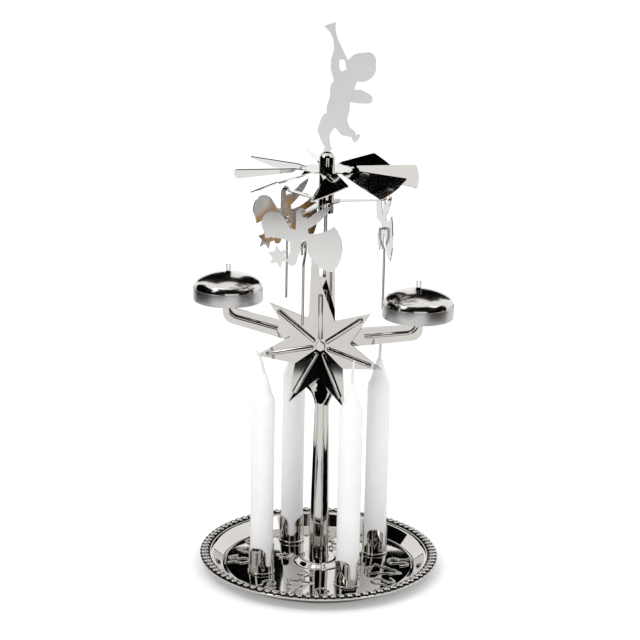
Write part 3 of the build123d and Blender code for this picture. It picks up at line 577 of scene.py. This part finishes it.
# Bells: spun from sheet, with a bright dome, a crisp turned edge and a satin skirt, and set loose
# on the forked tabs of the arms. The skirt's turning lines, 0.35 mm apart, are coarser than real
# ones so that they show.
def bell_finish(skirt_edge):
    material, shader, place = new_material("spun_nickel_bell")
    height = add_node(material, "ShaderNodeSeparateXYZ", None, {"Vector": place})
    skirt = add_node(
        material, "ShaderNodeMapRange",
        {
            "From Min": (skirt_edge - 0.2) * MM, "From Max": (skirt_edge + 0.2) * MM,
            "To Min": 1.0, "To Max": 0.0,
        },
        {"Value": height.outputs["Z"]},
    )
    ring = add_node(material, "ShaderNodeMapping", {"Scale": (0.06, 0.06, 1.0)}, {"Vector": place})
    lines = add_node(
        material, "ShaderNodeTexNoise", {"Scale": 1 / (0.35 * MM), "Detail": 2.0},
        {"Vector": ring.outputs["Vector"]},
    )
    satin = add_node(
        material, "ShaderNodeMapRange", {"To Min": 0.3, "To Max": 0.42}, {"Value": lines.outputs["Fac"]}
    )
    rough = add_node(
        material, "ShaderNodeMapRange", {"To Min": 0.14},
        {"Value": skirt.outputs["Result"], "To Max": satin.outputs["Result"]},
    )
    tone = add_node(material, "ShaderNodeValToRGB", None, {"Fac": skirt.outputs["Result"]})
    tone.color_ramp.elements[0].color = linear("#d2cfcb")
    tone.color_ramp.elements[1].color = linear("#cfcecd")
    strength = add_node(
        material, "ShaderNodeMath", {"operation": "MULTIPLY", 1: 0.25}, {0: skirt.outputs["Result"]}
    )
    bump = add_node(
        material, "ShaderNodeBump", {"Distance": 0.03 * MM},
        {"Height": lines.outputs["Fac"], "Strength": strength.outputs["Value"]},
    )
    links = material.node_tree.links
    links.new(tone.outputs["Color"], shader.inputs["Base Color"])
    links.new(rough.outputs["Result"], shader.inputs["Roughness"])
    links.new(bump.outputs["Normal"], shader.inputs["Normal"])
    shader.inputs["Metallic"].default_value = 1.0
    return material


skirt_height = 6.8
crown_angles = [radians(2.65 + 2.515 * step) for step in range(10)]
edge_angles = [radians(27.8 + 6.22 * step) for step in range(1, 11)]


def dome_line(crown_radius, crown_top, edge_radius):
    """The dome's profile from its hole down to its edge: a flat crown arc, then a tight edge arc."""
    crown = [(crown_radius * sin(a), crown_top - crown_radius * (1 - cos(a))) for a in crown_angles]
    edge = [(13.75 + edge_radius * sin(a), skirt_height + edge_radius * cos(a)) for a in edge_angles]
    return crown + edge


spun_bell = bell_finish(154.7)
outside = dome_line(34.1, 14.8, 4.6)
inside = dome_line(33.3, 14.0, 3.8)
skirt_line = [(18.75, skirt_height), (18.75, 0), (17.95, 0), (17.95, 6.3)]
bell_profile = outside + skirt_line + inside[::-1] + outside[:1]
sharp = (0, 0)
bell_rounds = [sharp] * 19 + [(0.15, 3), (0.25, 3), (0.25, 3), sharp] + [sharp] * 20
for side in ("left", "right"):
    node = f"bell_{side}"
    low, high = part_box(node)
    foot = Vector(((low.x + high.x) / 2, (low.y + high.y) / 2, low.z))
    bell = piece_of(f"spun_bell_{side}", turned(bell_profile, bell_rounds, foot, 128), spun_bell)
    stand_for(bell, f"{side}_bell", "bell_metal", node)


# Needle and hub: a pointed steel pin, held by two tongues of the mast, and the drawn thimble of
# plated sheet that spins on its point.
needle = smooth_copy("steel_needle", "needle", wire_steel)
stand_for(needle, "stand", "bright_steel", "needle")
thimble = smooth_copy("drawn_hub", "hub_tube", mirror_plate)
stand_for(thimble, "rotor", "plated_steel", "hub_tube")


# Pivot bearing: a turned brass plug, pressed into the hub, with a seat for the needle's point.
# Fine turning marks give it a soft yellow shine.
def turned_brass():
    material, shader, place = new_material("turned_brass")
    lines = add_node(
        material, "ShaderNodeTexNoise", {"Scale": 1 / (0.4 * MM), "Detail": 2.0}, {"Vector": place}
    )
    tone = add_node(material, "ShaderNodeValToRGB", None, {"Fac": lines.outputs["Fac"]})
    tone.color_ramp.elements[0].color = linear("#a8843c")
    tone.color_ramp.elements[1].color = linear("#d2b060")
    material.node_tree.links.new(tone.outputs["Color"], shader.inputs["Base Color"])
    shader.inputs["Metallic"].default_value = 1.0
    shader.inputs["Roughness"].default_value = 0.3
    return material


dress("pivot_bearing", turned_brass())


# Turbine wheel and angel carrier: blanked from thin plated sheet, the wheel slit into eight
# pitched blades and the carrier into three arms with hooks. Both are set on the hub's rings.
for node in ("turbine_wheel", "angel_carrier"):
    dress(node, thin_plate)


# Figures: flat blanks of thin plated sheet, slightly duller from handling. Three angels hang by a
# hole from the carrier's hooks, and one with a trumpet stands in the hub's top by its foot tab.
figure_plate = nickel_plate("handled_nickel_plate", 0.01, 0.1, ("#d8d6d4", "#dfdddb"))
for node in ("flying_angel_front", "flying_angel_left", "flying_angel_right", "trumpet_angel"):
    dress(node, figure_plate)


# Strikers: round plated wire, bent into a crook at the top that hangs through the angel's lower
# hole, so that the straight end swings past the bells.
wire_half_width = 0.65
hole_reach = 32.0
hole_level = 189.65
crook = [
    (2.6, -6.0), (2.6, -2.6), (2.6, 0), (0, 0), (-2.6, 0), (-2.6, -2.6), (-2.6, -6.4), (0, -11.0),
    (0, -14.0), (0, -44.15),
]
for name, facing in {"front": 265, "left": 145, "right": 25}.items():
    out = Vector((cos(radians(facing)), sin(radians(facing)), 0))
    hole = out * hole_reach + Vector((0, 0, hole_level))
    path = [tuple(hole + out * across + Vector((0, 0, up))) for across, up in crook]
    rod = raised_lines(f"wire_striker_{name}", [(path, False, True)], wire_half_width, wire_steel)
    stand_for(rod, f"{name}_striker", "bright_steel", f"striker_{name}")


# Studio: a white floor under soft lamps, with dark flags around the set, as for any bright
# plated thing, so that its faces show both black and white.
def card_material(name, colour):
    material = bpy.data.materials.new(name)
    material.use_nodes = True
    shader = material.node_tree.nodes["Principled BSDF"]
    shader.inputs["Base Color"].default_value = linear(colour)
    shader.inputs["Roughness"].default_value = 1.0
    shader.inputs["Specular IOR Level"].default_value = 0.0
    return material, shader


floor_material, floor_shader = card_material("white_floor", "#f4f4f4")
floor_path = add_node(floor_material, "ShaderNodeLightPath")
lift = add_node(
    floor_material, "ShaderNodeMath", {"operation": "MULTIPLY", 1: 0.16},
    {0: floor_path.outputs["Is Camera Ray"]},
)
floor_shader.inputs["Emission Color"].default_value = (1, 1, 1, 1)
floor_material.node_tree.links.new(lift.outputs["Value"], floor_shader.inputs["Emission Strength"])
floor_mesh = bmesh.new()
bmesh.ops.create_grid(floor_mesh, x_segments=1, y_segments=1, size=6.0)
floor = piece_of("studio_floor", floor_mesh, floor_material)

world = bpy.data.worlds.new("white_studio")
bpy.context.scene.world = world
world.use_nodes = True
rays = add_node(world, "ShaderNodeLightPath").outputs
direct = add_node(
    world, "ShaderNodeMath", {"operation": "MAXIMUM"}, {0: rays["Is Camera Ray"], 1: rays["Is Glossy Ray"]}
)
clear = add_node(
    world, "ShaderNodeMath", {"operation": "MAXIMUM"},
    {0: direct.outputs["Value"], 1: rays["Is Transmission Ray"]},
)
level = add_node(
    world, "ShaderNodeMapRange", {"To Min": 0.95, "To Max": 1.15}, {"Value": clear.outputs["Value"]}
)
background = world.node_tree.nodes["Background"]
background.inputs["Color"].default_value = (1, 1, 1, 1)
world.node_tree.links.new(level.outputs["Result"], background.inputs["Strength"])


def towards(azimuth, elevation):
    """The direction from the carousel at an azimuth from its front and an elevation, in degrees."""
    a = radians(azimuth)
    e = radians(elevation)
    return Vector((sin(a) * cos(e), -cos(a) * cos(e), sin(e)))


def hide_flag(card):
    """A flag shows only in reflections, and takes no light off the object."""
    card.visible_camera = False
    card.visible_diffuse = False
    card.visible_shadow = False
    card.visible_transmission = False


flag_centre = Vector((0, 0, 0.15))


def flag(name, azimuths, elevations, distance, material):
    """A card bent around the object, between two azimuths and two elevations."""
    bm = bmesh.new()
    start = bm.verts.new(flag_centre + towards(azimuths[0], elevations[0]) * distance)
    tilt_axis = towards(azimuths[0] - 90, 0)
    bmesh.ops.spin(
        bm, geom=[start], cent=flag_centre, axis=tilt_axis, angle=radians(elevations[1] - elevations[0]),
        steps=8,
    )
    bmesh.ops.spin(
        bm, geom=bm.edges[:] + bm.verts[:], cent=flag_centre, axis=(0, 0, 1),
        angle=radians(azimuths[1] - azimuths[0]), steps=24,
    )
    hide_flag(piece_of(name, bm, material))


black_card, _ = card_material("black_flag", "#060606")
warm_card, _ = card_material("warm_card", "#b58c5c")
flag("flag_left", (-112, -46), (-20, 40), 0.4, black_card)
flag("flag_right", (46, 112), (-20, 36), 0.4, black_card)
flag("flag_front", (-46, 4), (-10, 18), 0.95, black_card)
flag("flag_back_left", (199.5, 226), (9, 38), 0.85, black_card)
flag("flag_back_right", (165, 190.5), (9, 38), 0.85, black_card)
flag("flag_back_above", (160, 228), (38, 56), 0.85, black_card)
flag("flag_front_above", (-45, 75), (48, 66), 1.1, black_card)
flag("flag_right_above", (15, 80), (28, 48), 1.1, black_card)
flag("flag_front_middle", (-30, 50), (4, 48), 1.05, black_card)
flag("warm_card", (90, 99), (-13, -3), 0.36, warm_card)
for name, across in {"table_flag_left": -0.145, "table_flag_right": 0.145}.items():
    table = bmesh.new()
    bmesh.ops.create_grid(table, x_segments=1, y_segments=1, size=0.5)
    spread = Matrix.Translation((across, 0.02, 0.0005)) @ Matrix.Diagonal((0.14, 0.4, 1, 1))
    bmesh.ops.transform(table, verts=table.verts, matrix=spread)
    hide_flag(piece_of(name, table, black_card))


def lamp(name, azimuth, elevation, distance, size, power):
    """A round softbox that looks at the middle of the carousel."""
    away = towards(azimuth, elevation)
    data = bpy.data.lights.new(name, "AREA")
    data.shape = "DISK"
    data.size = size
    data.energy = power
    light = bpy.data.objects.new(name, data)
    light.location = Vector((0, 0, 0.12)) + away * distance
    light.rotation_euler = away.to_track_quat("Z", "Y").to_euler()
    bpy.context.scene.collection.objects.link(light)


lamp("key_softbox", -35, 55, 1.2, 0.7, 3.0)
lamp("fill_softbox", 70, 45, 1.3, 0.9, 1.5)


# Camera: a long lens, a little above the carousel and to the right of its star.
camera_azimuth = 15
camera_elevation = 15.8
camera_roll = radians(1.2)
camera_reach = 1.028
camera_height = 0.431
camera_shift = 0.0019
back = towards(camera_azimuth, camera_elevation)
right = towards(camera_azimuth + 90, 0)
up = back.cross(right)
camera_right = right * cos(camera_roll) + up * sin(camera_roll)
camera_up = up * cos(camera_roll) - right * sin(camera_roll)
spot = towards(camera_azimuth, 0) * camera_reach - camera_right * camera_shift
spot.z += camera_height
camera_data = bpy.data.cameras.new("photo_camera")
camera_data.sensor_width = 36
camera_data.lens = 112.5
camera = bpy.data.objects.new("photo_camera", camera_data)
turn = Matrix((camera_right, camera_up, back)).transposed().to_4x4()
camera.matrix_world = Matrix.Translation(spot) @ turn
bpy.context.scene.collection.objects.link(camera)
bpy.context.scene.camera = camera
bpy.context.scene.view_settings.view_transform = "Standard"
